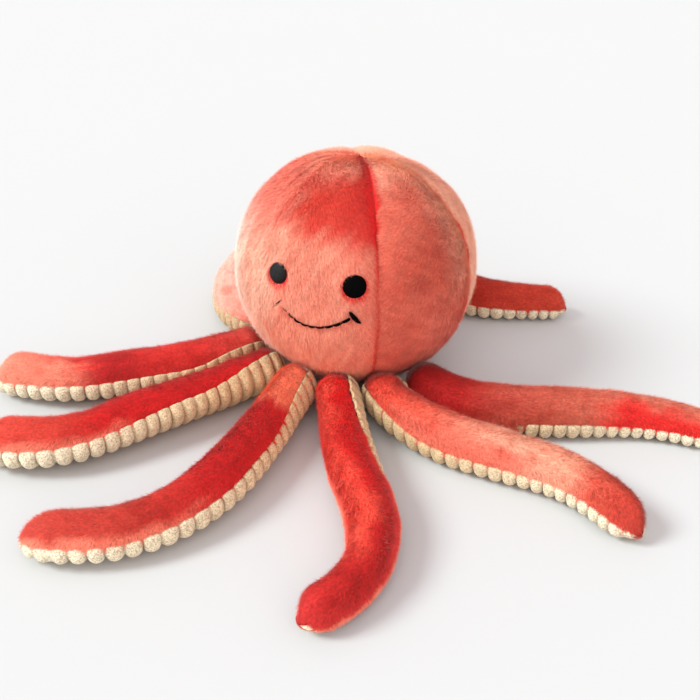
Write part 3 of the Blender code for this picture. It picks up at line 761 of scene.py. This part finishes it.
# Arms: length from hinge to tip, the length that the tip takes to round off and the tip's share of its full
# size, then by even steps along the arm: bends of the heading, roll of the section, and how far over the
# seam the pile starts on the arm's left and right, all in degrees. Below 0 the pile reaches under the arm
# and hides the cord.
ARMS = {
    "arm_1": ((0.131, 0.010, 0.98), (-5, -4, 8, -4, -42, -71), (34, 32, 14, 0, 0), (8, 8, 6, -24, -26, 3),
              (-24, -24)),
    "arm_2": ((0.125, 0.013, 1.0), (0, 25, 38, 38, 15, -4), (0, 0, -4, -12), (8, 8), (8, 8)),
    "arm_3": ((0.126, 0.011, 0.92), (0, 31, 44, 46, 32, 14), (0, 0, 0, 0), (8, 8), (-30, -14, 8, 8, 8, 8)),
    "arm_4": ((0.116, 0.011, 0.95), (0, -74, -122, -102, -80, -92), (0, 0, 0, 0), (8, 8), (8, 8)),
    "arm_5": ((0.124, 0.013, 0.95), (0, -26, -48, -70, -96, -122), (0, 0, 0, 0), (8, 8), (8, 8)),
    "arm_6": ((0.116, 0.014, 1.12), (0, -1, -9, -15, -36, -41), (14, 20, 18, 14), (8, 8), (8, 8)),
    "arm_7": ((0.127, 0.014, 1.2), (-9, -13, -13, -16, -45, -80), (44, 42, 28, 14), (8, 8), (8, 8)),
    "arm_8": ((0.146, 0.017, 1.08), (0, -1, -5, -28, -60, -84), (28, 24, 16, 14), (8, 8), (8, 8)),
}
# shown colours of an arm's pile by share of its length, and patches of (colour, middle share, half share,
# middle angle, half angle), with angles in degrees from the seam on the arm's left, over its top, to the
# other seam
ARM_DYES_AND_PAINTED_LIGHT = {
    "arm_1": (((0, (239, 6, 11)), (0.45, (235, 18, 20)), (0.7, (219, 30, 28)), (1, (205, 39, 34))),
              # arm_1's first patch, lighter on the side that faces the window, is painted light
              (((250, 92, 70), 0.36, 0.5, 150, 70), ((246, 128, 100), 0.6, 0.5, 0, 10),
               ((246, 128, 100), 0.6, 0.5, 180, 14))),
    "arm_2": (((0, (240, 80, 58)), (0.25, (241, 110, 84)), (0.5, (244, 174, 144)),
               (0.72, (239, 155, 125)), (0.8, (223, 90, 67)), (0.92, (210, 66, 48)),
               (1, (210, 66, 48))),
              (((240, 118, 94), 0.35, 0.3, 160, 30),)),
    "arm_3": (((0, (179, 4, 3)), (0.14, (189, 16, 8)), (0.26, (198, 70, 53)), (0.5, (210, 96, 72)),
               (0.75, (220, 121, 96)), (1, (223, 130, 104))),
              (((232, 30, 24), 0.83, 0.3, 164, 52),)),
    "arm_4": (((0, (210, 39, 25)), (1, (209, 65, 41))),
              (((244, 160, 138), 0.5, 0.5, 20, 26),)),
    "arm_5": (((0, (237, 146, 126)), (0.25, (241, 174, 156)), (1, (242, 183, 165))), ()),
    "arm_6": (((0, (223, 75, 62)), (0.2, (218, 44, 37)), (0.66, (220, 45, 38)),
               (0.82, (230, 119, 95)), (1, (233, 130, 104))),
              (((240, 138, 112), 0.86, 0.3, 24, 44), ((190, 20, 18), 0.5, 0.16, 50, 40))),
    "arm_7": (((0, (213, 17, 17)), (0.6, (213, 18, 17)), (0.74, (215, 59, 43)),
               (1, (214, 64, 45))),
              (((240, 128, 102), 0.85, 0.35, 6, 20),)),
    "arm_8": (((0, (247, 133, 97)), (0.13, (247, 131, 95)), (0.17, (217, 22, 22)),
               (0.5, (217, 26, 26)), (0.72, (204, 58, 43)), (1, (203, 60, 44))),
              (((238, 124, 98), 0.84, 0.34, 8, 20),)),
}
CORD_TAN = dyed(218, 184, 138)
CORD_CREAM = dyed(236, 222, 192)
# brown for the cord's creases and the pile hems that show in them: painted shade in the creases
CREASE_SHADE_BROWN = dyed(104, 66, 38)


class Arm:
    """One arm's centre line and sections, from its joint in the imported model."""

    def __init__(self, joint, lengths, bends_deg, roll_deg, *pile_starts):
        self.root = np.array(joint["pos_m"])
        (self.length, self.tip_reach, self.tip_size), self.pile_starts = lengths, pile_starts
        length = self.length
        self.body = length - ARM_TIP_RADIUS
        self.steps = np.linspace(0, length, 400)
        outwards = math.atan2(joint["axis"][0], -joint["axis"][1])
        self.heading = outwards + self.curve_through(np.radians(bends_deg), self.steps / length)
        step, middle = self.steps[1], (self.heading[1:] + self.heading[:-1]) / 2
        self.x = self.root[0] + np.concatenate([[0], np.cumsum(np.cos(middle) * step)])
        self.y = self.root[1] + np.concatenate([[0], np.cumsum(np.sin(middle) * step)])
        self.roll_stops = np.radians(roll_deg)
        self.lift = np.zeros(len(self.steps))
        turn = np.linspace(0, math.pi, 40)
        sole = self.places(self.steps, *self.cord_section(self.steps, turn, 0))
        self.lift = np.maximum(-sole[..., 2].min(axis=1), 0) * 0.7

    @staticmethod
    def curve_through(values, share):
        """The cubic through evenly spaced values, with each slope taken from its two neighbours."""
        spans = len(values) - 1
        slope = np.gradient(values)
        first = np.clip((share * spans).astype(int), 0, spans - 1)
        t = share * spans - first
        rise = smooth_step(t)
        leave = t * (1 - t) ** 2 * slope[first]
        arrive = t * t * (1 - t) * slope[first + 1]
        return values[first] * (1 - rise) + values[first + 1] * rise + leave - arrive

    def swell(self, along, belly, inset):
        """Half size along the arm: the root's, out to the belly's, then down to the tip's, less an inset."""
        share = along / self.body
        to_belly = smooth_step(share / ARM_BELLY_SHARE)
        to_tip = smooth_step((share - ARM_BELLY_SHARE) / (1 - ARM_BELLY_SHARE))
        full = ARM_ROOT_RADIUS + (belly - ARM_ROOT_RADIUS) * to_belly + (ARM_TIP_RADIUS - belly) * to_tip
        return full - inset

    def rounding(self, along, inset):
        """1 along the arm, the tip's own size towards the tip, and a quarter circle down to 0 at each end."""
        past_root = np.clip(-along / (ARM_ROOT_RADIUS - inset), 0, 1)
        past_tip = np.clip((along - self.length + self.tip_reach) / (self.tip_reach - inset), 0, 1)
        sized = 1 + (self.tip_size - 1) * smooth_step((along / self.length - 0.55) / 0.35)
        return sized * np.sqrt(np.clip(1 - past_root ** 2 - past_tip ** 2, 0, 1))

    def half_width(self, along, inset=0):
        return self.swell(along, ARM_BELLY_HALF_WIDTH, inset) * self.rounding(along, inset)

    def laid(self, along):
        """0 at the root, which stands off the resting plane, and 1 where the arm lies on it."""
        return smooth_step(along / self.length / ROOT_RISE_SHARE)

    def seam_height(self, along):
        """Height of the seam over the resting plane."""
        knots = np.linspace(0, self.body, ARM_BODY_SPANS + 1)
        laid = self.laid(knots)
        heights = self.swell(knots, ARM_BELLY_HALF_HEIGHT, 0) + ROOT_RISE * (1 - laid) - SEAM_DROP * laid
        return np.interp(along, knots, heights)

    def dome(self, along, inset=0):
        """Height of the top over the seam."""
        tall = self.swell(along, ARM_BELLY_HALF_HEIGHT, inset)
        return (tall + SEAM_DROP * self.laid(along)) * self.rounding(along, inset)

    def keel(self, along, inset=0):
        """Depth of the sole under the seam."""
        tall = self.swell(along, ARM_BELLY_HALF_HEIGHT, inset)
        return (tall - SEAM_DROP * self.laid(along)) * self.rounding(along, inset)

    def stations(self, spacing, inset):
        """Lengths of the rings: evenly along the body, and by even angles round both ends."""
        angle = np.radians(np.linspace(0, 90, 16))
        root = -(ARM_ROOT_RADIUS - inset) * np.cos(angle)
        straight = self.length - self.tip_reach
        tip = straight + (self.tip_reach - inset) * np.sin(angle)
        body = np.linspace(0, straight, int(straight / spacing))
        return np.concatenate([root[:-1], body, tip[1:]])

    def places(self, along, across, height):
        """Points by length along, width to the left and height over the seam, rolled round the section's
        middle and lifted so that a rolled section still rests on the plane.
        """
        heading = np.interp(along, self.steps, self.heading)[:, None]
        x = (np.interp(along, self.steps, self.x) + np.minimum(along, 0) * np.cos(self.heading[0]))[:, None]
        y = (np.interp(along, self.steps, self.y) + np.minimum(along, 0) * np.sin(self.heading[0]))[:, None]
        stops = np.linspace(0, self.length, len(self.roll_stops))
        roll = np.interp(along, stops, self.roll_stops)[:, None]
        middle = (self.dome(along) - self.keel(along))[:, None] / 2
        rise = height - middle
        left = across * np.cos(roll) - rise * np.sin(roll)
        rise = across * np.sin(roll) + rise * np.cos(roll)
        z = self.seam_height(along)[:, None] + middle + rise + np.interp(along, self.steps, self.lift)[:, None]
        return np.stack([x - np.sin(heading) * left, y + np.cos(heading) * left, z], -1)

    def core(self, along):
        """The middle of each section, one column wide."""
        zero = np.zeros((len(along), 1))
        return self.places(along, zero, (self.dome(along) - self.keel(along))[:, None] / 2)

    def reach(self, along, side):
        """How far over the seam the pile starts, in degrees, one column wide. Side 0 is the arm's left."""
        stops = self.pile_starts[side]
        return np.interp(along / self.length, np.linspace(0, 1, len(stops)), stops)[:, None]

    def pile_section(self, along, angle):
        """Width and height of the top's cloth, by an angle from the left seam over the arm: an arch over the
        seams, and just outside the cord where it reaches under them.
        """
        start = np.where(angle < math.pi / 2, self.reach(along, 0), self.reach(along, 1))
        wrapped = smooth_step((6 - start) / 14) * smooth_step(1 - np.sin(angle) / 0.45)
        inset = CLOTH_INSET * (1 - 0.35 * wrapped)
        rounding = self.rounding(along, CLOTH_INSET)[:, None]
        wide = self.swell(along[:, None], ARM_BELLY_HALF_WIDTH, inset) * rounding
        tall = self.swell(along[:, None], ARM_BELLY_HALF_HEIGHT, inset)
        drop = SEAM_DROP * self.laid(along)[:, None]
        under, deep = self.cord_section(along, -angle, 0.0012)
        above = np.sin(angle) > 0
        return np.where(above, wide * np.cos(angle), under * rounding), \
            np.where(above, (tall + drop) * rounding * np.sin(angle), deep * rounding)

    def cord_section(self, along, turn, sunk):
        """Width and height of the sole's section, a squarish oval, by an angle from one seam under the arm."""
        round_over = 2 / 2.6
        wide = (self.half_width(along)[:, None] * CORD_BULGE - sunk) * np.abs(np.cos(turn)) ** round_over
        deep = (self.keel(along)[:, None] - sunk) * np.abs(np.sin(turn)) ** round_over
        return wide * np.sign(np.cos(turn)), -deep * np.sign(np.sin(turn))


def add_arm_plush(name, arm):
    """The pile top of an arm: an arch over the seam, whose pile lies along the arm and over the cord's edge."""
    along = arm.stations(0.0014, CLOTH_INSET)
    left, right = arm.reach(along, 0), 180 - arm.reach(along, 1)
    angle = np.radians(left + (right - left) * np.linspace(0, 1, 60))
    grid = arm.places(along, *arm.pile_section(along, angle))
    core = arm.core(along)
    lump = 0.0006 * drift(grid, 0.018, 51) + 0.0003 * drift(grid, 0.007, 52)
    grid = grid + unit(grid - core) * lump[..., None]
    grid[[0, -1]] = grid[[0, -1]].mean(axis=1, keepdims=True)
    sewn = hemmed(grid, core, ARM_HEM_SHARE)
    sewn[:, [0, -1], 2] -= ARM_HEM_DROP * (arm.rounding(along, 0) > 0.5)[:, None]
    shown_stops, patches = ARM_DYES_AND_PAINTED_LIGHT[name]
    stops = [(share, dyed(*shown)) for share, shown in shown_stops]
    cloth = Cloth()
    backing = np.repeat(along_stops(along / arm.length, stops)[:, None], grid.shape[1] + 2, axis=1)
    # the hems half brown, where they show in the cord's creases: painted shade
    backing[:, [0, -1]] = mixed(backing[:, [0, -1]], CREASE_SHADE_BROWN, 0.5)
    cloth.add_grid(sewn, core, backing)

    seed = 60 + int(name[-1])
    row, column, place, normal = rooted(grid, core, PILE_COUNT, seed)
    onward = unit(between(np.gradient(grid, axis=0), row, column))
    around = unit(between(np.gradient(grid, axis=1), row, column))
    share = between(np.broadcast_to(along[:, None], grid.shape[:2]), row, column) / arm.length
    turn = between(angle, row, column)
    by_seam = smooth_step((np.abs(np.cos(turn)) - 0.80) / 0.2)
    over = -np.cos(turn) * (0.3 + by_seam)
    lie = unit(onward * (1 - 0.75 * by_seam)[:, None] + around * over[:, None])
    swirl = np.radians(12 * drift(place, 0.010, 53) + 14 * drift(place, 0.0026, 54))
    swirl += np.radians(np.random.default_rng(seed + 10).normal(0, 10, len(place)))
    lie = turned(lie, normal, swirl)
    streak = brush_strokes(-share * arm.length, turn * ARM_BELLY_HALF_WIDTH, 0, seed + 30)
    length = PILE_LENGTH * (0.94 + 0.12 * drift(place, 0.004, 55) + 0.08 * streak) * (1 - 0.25 * by_seam)

    ragged = 0.018 * drift(np.stack([share * arm.length * 0.3, turn * 0.02, turn * 0], -1), 0.0035, 56)
    tint = along_stops(share + ragged, stops)
    # patches of colour over the stops; arm_1's first patch is painted light on its side towards the window
    for shown, middle_share, half_share, middle_deg, half_deg in patches:
        inside = smooth_step((half_share - np.abs(share - middle_share)) / 0.15 + ragged * 12)
        edge = (half_deg - np.abs(np.degrees(turn) - middle_deg)) / (half_deg * 0.7 + 4)
        inside = inside * smooth_step(edge + 0.5 + 0.4 * drift(place, 0.006, 57))
        tint = mixed(tint, dyed(*shown), inside)
    spotted = smooth_step((drift(place, 0.0032, 58) - 0.05) / 0.5) - 0.3
    tint = deepened(tint, 0.22 * streak + 0.3 * spotted)
    cloth.add_tufts(place, normal, lie, length, tint, tint, map_spots(grid, row, column), seed + 20)
    handed_over(cloth.piece(name + "_plush", ARM_PILE), name, name + "_top")


def add_arm_cord(name, arm):
    """The cord sole of an arm: pillowed ribs across it, with a crease between each two.

    A rib's height is the square root of one less most of the square of the way from its middle.
    """
    along = arm.stations(0.0005, 0)
    rise = [CORD_RISE_DEG * smooth_step((arm.reach(along, side) + 10) / 18) for side in (0, 1)]
    turn = np.radians(-rise[0] + (180 + rise[0] + rise[1]) * np.linspace(0, 1, 50))
    pitch = arm.body / round(arm.body / RIB_PITCH)
    from_middle = np.abs(2 * ((along / pitch) % 1) - 1)
    rib = np.sqrt(1 - 0.97 * from_middle ** 2) * np.minimum(arm.rounding(along, 0) * 1.5, 1)
    sunk = RIB_DEPTH * (1 - rib)[:, None] * (0.45 + 0.55 * smooth_step(np.sin(turn) * 2.5 + 0.4))
    hidden = np.where(turn < math.pi / 2, rise[0], rise[1]) / CORD_RISE_DEG
    sunk = (sunk + 0.0030 * (1 - hidden) * smooth_step(1.25 - np.sin(turn))) * arm.rounding(along, 0)[:, None]
    across, height = arm.cord_section(along, turn, sunk)
    grid = arm.places(along, across, height)
    core = arm.core(along)
    grid = grid + unit(grid - core) * (0.00016 * drift(grid, 0.0035, 71))[..., None]
    hem_height = 0.0030 * arm.rounding(along, 0)[:, None]
    hems = [arm.places(along, edge * 0.78, hem_height) for edge in (across[:, :1], across[:, -1:])]
    grid = np.concatenate([hems[0], grid, hems[1]], axis=1)
    grid[..., 2] = np.maximum(grid[..., 2], RESTING_HEIGHT)
    grid[[0, -1]] = grid[[0, -1]].mean(axis=1, keepdims=True)
    stops = ((0, CORD_TAN * 0.9), (0.25, CORD_TAN), (0.8, CORD_CREAM), (1, CORD_CREAM))
    tint = along_stops(along / arm.length, stops)
    # darker brown towards each crease between ribs: painted shade
    tint = mixed(CREASE_SHADE_BROWN, tint, smooth_step(rib * 2 - 0.25))[:, None] * np.ones(grid.shape)
    tint = tint * (1 + 0.08 * drift(grid, 0.004, 72))[..., None]
    cloth = Cloth()
    cloth.add_grid(grid, core, tint)
    handed_over(cloth.piece(name + "_cord", CORD), name, name + "_sole")


def add_arm_inside(name, arm):
    """An arm's stuffing, and the thread of the seam: out along one edge, round the tip and back."""
    along = arm.stations(0.003, STUFFING_INSET)
    turn = np.linspace(0, math.tau, 33)
    width = arm.half_width(along, STUFFING_INSET)[:, None] * np.cos(turn)
    rise, fall = arm.dome(along, STUFFING_INSET)[:, None], arm.keel(along, STUFFING_INSET)[:, None]
    grid = arm.places(along, width, np.where(turn < math.pi, rise, fall) * np.sin(turn))
    core = Cloth()
    core.add_grid(grid, arm.core(along), np.ones(3))
    handed_over(core.piece(name + "_fill", FIBRE), name, name + "_stuffing")

    along = arm.stations(0.003, 0)
    edge = arm.half_width(along)[:, None] * 0.72
    left, right = arm.places(along, edge, edge * 0), arm.places(along, -edge, edge * 0)
    path = np.concatenate([left[1:, 0], right[-2:0:-1, 0]])
    thread = stitched(name + "_edge_thread", path, SEAM_THREAD_RADIUS, THREAD_TWIST, SEAM_THREAD)
    handed_over(thread, name, name + "_seam_thread")


# Face


def add_eye(name, spot, radius, stitch_deg, material):
    """An eye of satin stitches: a low dome with ridges across it, one for each turn of the thread."""
    azimuth, latitude = spot
    middle = face_point(azimuth, latitude, 0)
    out = unit(middle - HEAD_MIDDLE)
    right = unit(np.cross(np.array([0, 0, 1]), out))
    up = np.cross(out, right)
    lean = math.radians(stitch_deg)
    thread_way = right * math.cos(lean) + up * math.sin(lean)
    ridge_way = up * math.cos(lean) - right * math.sin(lean)
    share = np.linspace(0, 1, 60)[:, None] ** 0.8
    turn = np.linspace(0, math.tau, 181)
    x, y = radius * share * np.cos(turn), radius * share * np.sin(turn)
    ridge = np.sqrt(np.abs(np.sin(math.pi * (y + 0.00006 * np.sin(x * 900)) / 0.00042)))
    height = 0.0013 * np.sqrt(np.clip(1 - share ** 3, 0, 1)) + 0.00011 * ridge * np.clip(4 - 4 * share, 0, 1)
    height = height - 0.0008 - (x ** 2 + y ** 2) / 2 / HEAD_RADIUS
    dome = middle + x[..., None] * thread_way + y[..., None] * ridge_way + height[..., None] * out
    back = dome[-1:] - out * 0.0008
    shut = np.broadcast_to(middle - out * 0.0016, back.shape)
    cloth = Cloth()
    cloth.add_grid(np.concatenate([dome, back, shut]), middle - out * 0.001, np.zeros(3))
    handed_over(cloth.piece(name + "_stitches", material), "head", name)


def stitched(name, path, radius, twist, material):
    """A thread along a path of points: rings of one radius, or of one for each point, swollen by two strands
    that twist round each other.
    """
    onward = unit(np.gradient(path, axis=0))
    out = unit(path - HEAD_MIDDLE)
    side = unit(np.cross(onward, out))
    turn = np.linspace(0, math.tau, 19)
    travelled = np.concatenate([[0], np.cumsum(np.linalg.norm(np.diff(path, axis=0), axis=-1))])[:, None]
    strands = np.cos(2 * (turn + travelled / twist * math.tau))
    swollen = np.broadcast_to(radius, len(path))[:, None] * (1 + 0.16 * strands)
    rings = path[:, None] + swollen[..., None] * (
        side[:, None] * np.cos(turn)[:, None] + out[:, None] * np.sin(turn)[:, None])
    cloth = Cloth()
    shut = [np.repeat(path[[end], None], len(turn), axis=1) for end in (0, -1)]
    middle = path[[0, *range(len(path)), -1], None]
    cloth.add_grid(np.concatenate([shut[0], rings, shut[1]]), middle, np.zeros(3))
    return cloth.piece(name, material)


def add_smile():
    """The smile: a line of backstitches, each a bulging loop of thread that dives into the pile at its ends."""
    share = np.linspace(-1, 1, 260)
    travelled = (share + 1) * math.radians(SMILE_ENDS[0]) * HEAD_RADIUS
    bulge = np.sqrt(np.abs(np.sin(math.pi * travelled / 0.0033)))
    ends = np.sqrt(np.clip((1 - np.abs(share)) * 30, 0, 1))
    shown = smooth_step((share + 0.84) / 0.5)
    radius = (0.00042 + 0.00024 * smooth_step(share)) * (0.6 + 0.4 * bulge) * ends
    stand = -0.0012 + 0.0007 * bulge + 0.0009 * shown
    smile = stitched("smile_stitches", smile_point(share, stand), radius, THREAD_TWIST, BLACK_THREAD)
    handed_over(smile, "head", "smile_thread")


def add_corner(name, side, rise, thickness):
    """The short stitch across one end of the smile: a wedge, thickest above its middle."""
    lean = math.radians(CORNER_LEAN_DEG)
    past_end = math.degrees(0.0015 / math.cos(lean) / HEAD_RADIUS)
    reach = math.degrees(CORNER_STITCH_LENGTH / 2 / HEAD_RADIUS)
    step = np.linspace(-1, 1, 60)
    azimuth = side * (SMILE_ENDS[side > 0] + past_end + step * reach * math.sin(lean))
    latitude = SMILE_END_LATITUDE - step * reach * math.cos(lean)
    arch = np.sqrt(np.clip(1 - step ** 2, 0, 1))
    path = face_point(azimuth, latitude, rise * arch - 0.0008)
    stitch = stitched(name + "_stitch", path, thickness * arch * (1 - 0.3 * step), 0.0018, BLACK_THREAD)
    handed_over(stitch, "head", name)


# Stage


def add_stage():
    """A pale floor under soft light from a window on the left, and the photograph's camera."""
    half = FLOOR_WIDTH / 2
    mesh = bpy.data.meshes.new("floor")
    corners = [(-half, -half, 0), (half, -half, 0), (half, half, 0), (-half, half, 0)]
    mesh.from_pydata(corners, [], [(0, 1, 2, 3)])
    floor = placed("floor", mesh)
    material, tree, shader, place = finish("pale_floor", Roughness=0.9)
    painted(tree, shader, scaled(tree, FLOOR_COLOUR, noise(tree, place, 0.3) * 0.01 + 0.995))
    mesh.materials.append(material)

    for name, turn_deg, spread_deg, strength, colour in LAMPS:
        light = bpy.data.lights.new(name, "SUN")
        light.energy, light.color = strength, colour
        light.angle = math.radians(spread_deg)
        placed(name, light).rotation_euler = np.radians(turn_deg)

    world = bpy.data.worlds.new("room")
    world.use_nodes = True
    room = world.node_tree.nodes["Background"]
    room.inputs["Color"].default_value = ROOM_COLOUR
    room.inputs["Strength"].default_value = ROOM_STRENGTH
    bpy.context.scene.world = world

    lens = bpy.data.cameras.new("photograph")
    lens.lens = LENS_MM
    lens.clip_start = 0.01
    camera = placed("photograph", lens)
    camera.location = CAMERA_PLACE
    camera.rotation_euler = np.radians(CAMERA_TURN_DEG)
    bpy.context.scene.camera = camera
    bpy.context.scene.view_settings.view_transform = "Standard"


def dress_solids():
    """Materials for the solids that stay: the threads, the crown's knot and the stuffing."""
    for name, solid in frame["nodes"].items():
        if name == "head_stuffing":
            material = FIBRE
        elif name in ("head_base_thread", "crown_knot"):
            material = SEAM_THREAD
        else:
            continue
        solid.data.materials.clear()
        solid.data.materials.append(material)


add_stage()
dress_solids()
for gore_number in range(1, GORE_COUNT + 1):
    add_gore(gore_number)
add_base_plush()
for joint in frame["joints"]:
    arm_name = joint["child"]
    arm_shape = Arm(joint, *ARMS[arm_name])
    add_arm_plush(arm_name, arm_shape)
    add_arm_cord(arm_name, arm_shape)
    add_arm_inside(arm_name, arm_shape)
add_head_threads()
add_eye("eye_left", EYE_SPOTS[1], EYE_RADII[1], 8, BLACK_THREAD)
add_eye("eye_right", EYE_SPOTS[0], EYE_RADII[0], -12, GREY_SATIN)
add_smile()
add_corner("smile_corner_left", 1, 0.0017, 0.0009)
add_corner("smile_corner_right", -1, 0.0004, 0.0004)
